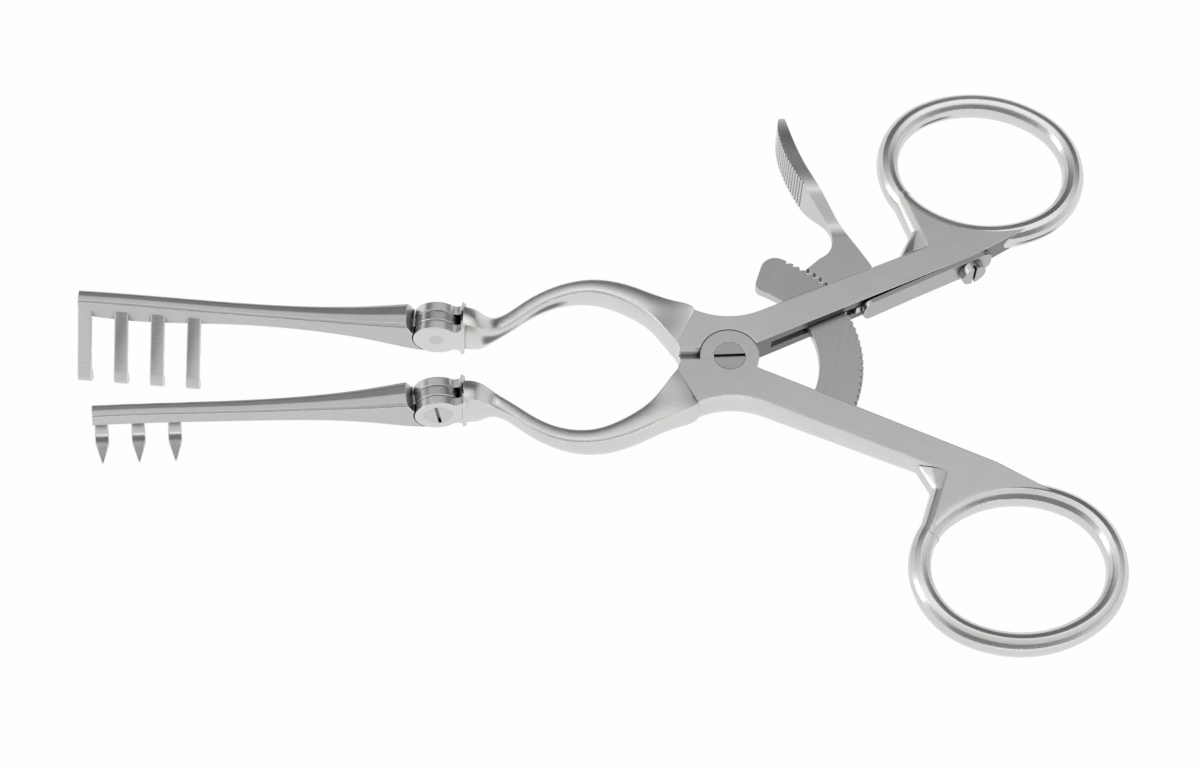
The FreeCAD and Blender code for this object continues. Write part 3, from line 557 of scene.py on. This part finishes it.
class SubAssembly(ABC):
    """A group of CAD nodes that is finished together."""

    title: str
    # The steels built so far, by name, so that nodes of one finish share its material
    built: ClassVar[dict[str, bpy.types.Material]] = {}

    @abstractmethod
    def finishes(self) -> dict[str, SteelFinish]:
        """The finish of each of its nodes, by the node's name."""

    def dress(self) -> None:
        """Gives each node its finish and reports it."""
        for node_name, finish in self.finishes().items():
            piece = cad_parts[node_name]
            material = self.built.get(finish.name) or finish.build()
            self.built[finish.name] = material
            if not piece.material_slots:
                piece.data.materials.append(material)
            for material_slot in piece.material_slots:
                material_slot.material = material
            LOG.info("%s: %s in %s", self.title, node_name, finish.name)


@dataclass
class LowerHalf(SubAssembly):
    """The lower arm with its ring, neck and fork, and its hinge screw."""

    title: str = "lower half"
    tube_from_mm: float = 5.6
    neck_mm: tuple[float, float] = (10.0, 39.0)
    screw_edge_mm: float = 0.06

    def finishes(self) -> dict[str, SteelFinish]:
        """The arm is ground along its own handle."""
        # Forged, then belt ground: flats with a fine matt streak, flanks in soft bright and dark bands
        arm = SteelFinish(
            "lower_forged_steel", "C6C6C4", "D4D4D2", 0.32, 0.21, Lay.ALONG_LOWER_HANDLE,
            tube_from_mm=self.tube_from_mm,
            neck_mm=self.neck_mm,
        )
        screw = turned_screw_steel(self.screw_edge_mm)
        return {"lower_arm": arm, "lower_hinge_screw": screw}


@dataclass
class UpperHalf(SubAssembly):
    """The upper arm with its ring, neck, fork and slot, its hinge screw and the pivot screw."""

    title: str = "upper half"
    tube_from_mm: float = 5.6
    neck_mm: tuple[float, float] = (10.0, 39.0)
    screw_edge_mm: float = 0.06

    def finishes(self) -> dict[str, SteelFinish]:
        """The arm is ground along its own handle, and its inner wall gets painted shade."""
        turn = math.radians(HANDLE_ANGLE)
        # Forged and ground like the lower arm, and a shade lighter, with its own direction of grinding
        arm = SteelFinish(
            "upper_forged_steel", "CECECC", "D6D6D4", 0.32, 0.21, Lay.ALONG_UPPER_HANDLE,
            tube_from_mm=self.tube_from_mm,
            neck_mm=self.neck_mm,
            # Painted shade on the inner wall, which faces the lower arm
            shaded_wall_way=(math.sin(turn), -math.cos(turn), 0.0),
        )
        screw = turned_screw_steel(self.screw_edge_mm)
        return {"upper_arm": arm, "upper_hinge_screw": screw, "pivot_screw": screw}


@dataclass
class RatchetAndRelease(SubAssembly):
    """The ratchet with its rivets, the release lever with its pin, and the leaf spring with its screw."""

    title: str = "ratchet and release"
    plate_edge_mm: float = 0.1
    lever_edge_mm: float = 0.06
    # Short, so that the painted shade draws the grooves of the thumb pad dark
    groove_shade_reach_mm: float = 0.5
    screw_edge_mm: float = 0.06

    def finishes(self) -> dict[str, SteelFinish]:
        """Cut plate for the ratchet, a forged lever and rolled strip for the spring."""
        # Cut from sheet and ground across: the most matt steel here, a middle grey
        plate = SteelFinish(
            "ratchet_plate_steel", "B6B6B4", "C6C6C4", 0.36, 0.24, Lay.ACROSS_RATCHET, self.plate_edge_mm
        )
        # Forged and dressed by hand: light satin flanks, with painted shade drawing the pad's grooves as
        # thin dark lines
        lever = SteelFinish(
            "forged_lever_steel", "C0C0BE", "CACAC8", 0.30, 0.20, Lay.ALONG_LEVER, self.lever_edge_mm,
            crevice_shade_reach_mm=self.groove_shade_reach_mm,
            crevice_shade_open=1.0,
        )
        # Rolled strip, ground with the handle: a shade darker than the arm that carries it
        spring = SteelFinish(
            "ground_spring_steel", "A8A8A6", "B0B0AE", 0.32, 0.24,
            Lay.ALONG_UPPER_HANDLE, self.plate_edge_mm,
        )
        # Turned and left as it was machined: the darkest steel, with small sharp highlights
        screw = SteelFinish(
            "turned_spring_screw_steel", "9A9A98", "B2B2B0", 0.28, 0.20, Lay.ALONG_BLADE, self.screw_edge_mm
        )
        return {
            "ratchet_arc": plate,
            "ratchet_rivets": plate,
            "release_lever": lever,
            "lever_pin": lever,
            "leaf_spring": spring,
            "spring_screw": screw,
        }


@dataclass
class Blades(SubAssembly):
    """The four-prong and the three-prong blade, polished all over."""

    title: str = "blades"
    crown_radius_mm: float = 0.35

    def finishes(self) -> dict[str, SteelFinish]:
        """Both blades get one polished steel, whose rounded edges hide the narrow flats of the crown."""
        # Buffed all over: clear bands of light and dark along the crown, and faint grinding lines
        steel = SteelFinish(
            "polished_blade_steel", "B4B4B2", "C0C0BE", 0.28, 0.20, Lay.ALONG_BLADE, self.crown_radius_mm
        )
        return {"four_prong_blade": steel, "three_prong_blade": steel}


@dataclass(frozen=True)
class Card:
    """A plain card that stands around the object and shows as a soft grey band in its metal."""

    name: str
    place: tuple[float, float, float]
    size: tuple[float, float]
    low_level: float
    high_level: float

    def build(self) -> None:
        """Builds the card facing the object, out of the camera's sight like the lamps."""
        mesh = bpy.data.meshes.new(self.name)
        half_width = self.size[0] / 2
        half_height = self.size[1] / 2
        corners = [
            (-half_width, -half_height, 0.0),
            (half_width, -half_height, 0.0),
            (half_width, half_height, 0.0),
            (-half_width, half_height, 0.0),
        ]
        mesh.from_pydata(corners, [], [(0, 1, 2, 3)])
        card = bpy.data.objects.new(self.name, mesh)
        card.location = self.place
        card.rotation_euler = (-Vector(self.place)).to_track_quat("-Z", "Y").to_euler()
        card.visible_camera = False
        bpy.context.scene.collection.objects.link(card)
        mesh.materials.append(self._paint())

    def _paint(self) -> bpy.types.Material:
        """Makes the grey of an evenly lit card, which may change from its low edge to its high one.

        Returns:
            The card's material.
        """
        material = bpy.data.materials.new(self.name)
        material.use_nodes = True
        tree = material.node_tree
        tree.nodes.clear()
        place = add_node(tree, "ShaderNodeTexCoord")
        split = add_node(tree, "ShaderNodeSeparateXYZ", links={0: place.outputs["Object"]})
        level = add_node(
            tree,
            "ShaderNodeMapRange",
            values={
                "From Min": -self.size[1] / 2,
                "From Max": self.size[1] / 2,
                "To Min": self.low_level,
                "To Max": self.high_level,
            },
            links={"Value": split.outputs["Y"]},
        )
        grey = add_node(tree, "ShaderNodeEmission", links={"Strength": level.outputs[0]})
        add_node(tree, "ShaderNodeOutputMaterial", links={"Surface": grey.outputs[0]})
        return material


@dataclass(frozen=True)
class Softbox:
    """A rectangular lamp that faces the object."""

    name: str
    place: tuple[float, float, float]
    aim: tuple[float, float, float]
    size: tuple[float, float]
    watts: float

    def build(self) -> None:
        """Builds the lamp."""
        data = bpy.data.lights.new(self.name, "AREA")
        data.shape = "RECTANGLE"
        data.size, data.size_y = self.size
        data.energy = self.watts
        lamp = bpy.data.objects.new(self.name, data)
        lamp.location = self.place
        way = Vector(self.aim) - Vector(self.place)
        lamp.rotation_euler = way.to_track_quat("-Z", "Y").to_euler()
        bpy.context.scene.collection.objects.link(lamp)


@dataclass
class Studio:
    """A white sweep with soft light from above and both sides, and grey cards around the object."""

    floor_half_m: float = 3.0
    shadow_share: float = 0.03
    ambient: float = 0.9
    cards: tuple[Card, ...] = (
        Card("ceiling_card", (0.0, 0.30, 1.30), (2.6, 2.3), 0.98, 0.72),
        # A dark strip low at the back draws the dark line along the crown of every round piece
        Card("back_flag", (0.0, 0.85, 0.80), (2.6, 0.46), 0.06, 0.16),
        Card("back_card", (0.0, 1.45, 0.48), (3.0, 0.75), 0.60, 0.10),
        Card("left_card", (-1.45, 0.0, 0.72), (2.6, 0.75), 0.95, 0.40),
        Card("right_card", (1.45, 0.0, 0.72), (2.6, 0.75), 0.85, 0.35),
        Card("front_card", (0.0, -1.20, 0.82), (3.0, 1.20), 0.18, 0.30),
    )
    softboxes: tuple[Softbox, ...] = (
        Softbox("top_softbox", (0.0, 0.20, 0.90), (0.0, 0.0, 0.0), (1.2, 0.30), 0.7),
        Softbox("left_softbox", (-0.75, 0.05, 0.40), (-0.02, 0.0, 0.0), (0.30, 0.7), 1.0),
        Softbox("front_softbox", (0.25, -0.85, 0.14), (0.02, 0.0, 0.0), (1.0, 0.16), 0.7),
    )

    def build(self) -> None:
        """Builds the floor, the world, the cards and the lamps."""
        self._floor()
        self._world()
        for card in self.cards:
            card.build()
        for softbox in self.softboxes:
            softbox.build()

    def _floor(self) -> None:
        """A pale floor under the lowest point, white to the camera but for the shadow."""
        mesh = bpy.data.meshes.new("studio_floor")
        half = self.floor_half_m
        low = CAD_BOUNDS[0][2]
        corners = [(-half, -half, low), (half, -half, low), (half, half, low), (-half, half, low)]
        mesh.from_pydata(corners, [], [(0, 1, 2, 3)])
        floor = bpy.data.objects.new("studio_floor", mesh)
        bpy.context.scene.collection.objects.link(floor)
        # Matt white paper, which shows nothing but the object's shadow
        material = bpy.data.materials.new("white_sweep")
        material.use_nodes = True
        tree = material.node_tree
        tree.nodes.clear()
        paper = add_node(tree, "ShaderNodeBsdfDiffuse", values={"Color": linear_colour("F4F4F4")})
        white = add_node(
            tree, "ShaderNodeEmission", values={"Color": linear_colour("FFFFFF"), "Strength": 1.0}
        )
        seen = self._seen(tree)
        share = add_node(
            tree,
            "ShaderNodeMath",
            {"operation": "MULTIPLY"},
            {1: 1 - self.shadow_share},
            {0: seen.outputs[0]},
        )
        mixed = add_node(
            tree,
            "ShaderNodeMixShader",
            links={0: share.outputs[0], 1: paper.outputs[0], 2: white.outputs[0]},
        )
        add_node(tree, "ShaderNodeOutputMaterial", links={"Surface": mixed.outputs[0]})
        mesh.materials.append(material)

    @staticmethod
    def _seen(tree: bpy.types.NodeTree) -> bpy.types.Node:
        """One for the rays that show the background, zero for the rays that carry its light.

        Args:
            tree: The tree of the floor or the world.

        Returns:
            The node whose first output says so.
        """
        path = add_node(tree, "ShaderNodeLightPath")
        direct = add_node(
            tree,
            "ShaderNodeMath",
            {"operation": "MAXIMUM"},
            links={0: path.outputs["Is Camera Ray"], 1: path.outputs["Is Glossy Ray"]},
        )
        return add_node(
            tree,
            "ShaderNodeMath",
            {"operation": "MAXIMUM"},
            links={0: direct.outputs[0], 1: path.outputs["Is Transmission Ray"]},
        )

    def _world(self) -> None:
        """White wherever it is seen, also in the metal, and a little dimmer as light."""
        world = bpy.data.worlds.new("white_studio")
        world.use_nodes = True
        tree = world.node_tree
        tree.nodes.clear()
        seen = self._seen(tree)
        dim = (self.ambient, self.ambient, self.ambient, 1.0)
        tone = add_node(
            tree,
            "ShaderNodeMix",
            {"data_type": "RGBA"},
            {6: dim, 7: linear_colour("FFFFFF")},
            {0: seen.outputs[0]},
        )
        glow = add_node(
            tree,
            "ShaderNodeBackground",
            values={"Strength": 1.0},
            links={"Color": tone.outputs["Result"]},
        )
        add_node(tree, "ShaderNodeOutputWorld", links={"Surface": glow.outputs[0]})
        bpy.context.scene.world = world


@dataclass(frozen=True)
class PhotoCamera:
    """The camera at the photograph's viewing angle."""

    # Place and turn come from a fit of the solids to the photograph
    place_mm: tuple[float, float, float] = (-41.969, -276.776, 458.625)
    right: tuple[float, float, float] = (0.999141, -0.023792, 0.033918)
    up: tuple[float, float, float] = (0.002981, 0.857833, 0.51392)
    lens_mm: float = 103.908
    sensor_mm: float = 36.0
    near_m: float = 0.01
    far_m: float = 20.0

    def build(self) -> None:
        """Creates the camera and makes it the scene's."""
        data = bpy.data.cameras.new("photo_camera")
        data.sensor_width = self.sensor_mm
        data.lens = self.lens_mm
        data.clip_start = self.near_m
        data.clip_end = self.far_m
        camera = bpy.data.objects.new("photo_camera", data)
        right = Vector(self.right)
        up = Vector(self.up)
        turn = Matrix((right, up, right.cross(up))).transposed()
        camera.matrix_world = Matrix.Translation(Vector(self.place_mm) * MM) @ turn.to_4x4()
        bpy.context.scene.collection.objects.link(camera)
        bpy.context.scene.camera = camera


def main() -> None:
    """Dresses the pieces, then sets up the studio and the camera."""
    logging.basicConfig(level=logging.INFO, format="%(message)s")
    for group in (LowerHalf(), UpperHalf(), RatchetAndRelease(), Blades()):
        group.dress()
    Studio().build()
    PhotoCamera().build()
    bpy.context.scene.view_settings.view_transform = "Standard"


if __name__ == "__main__":
    main()
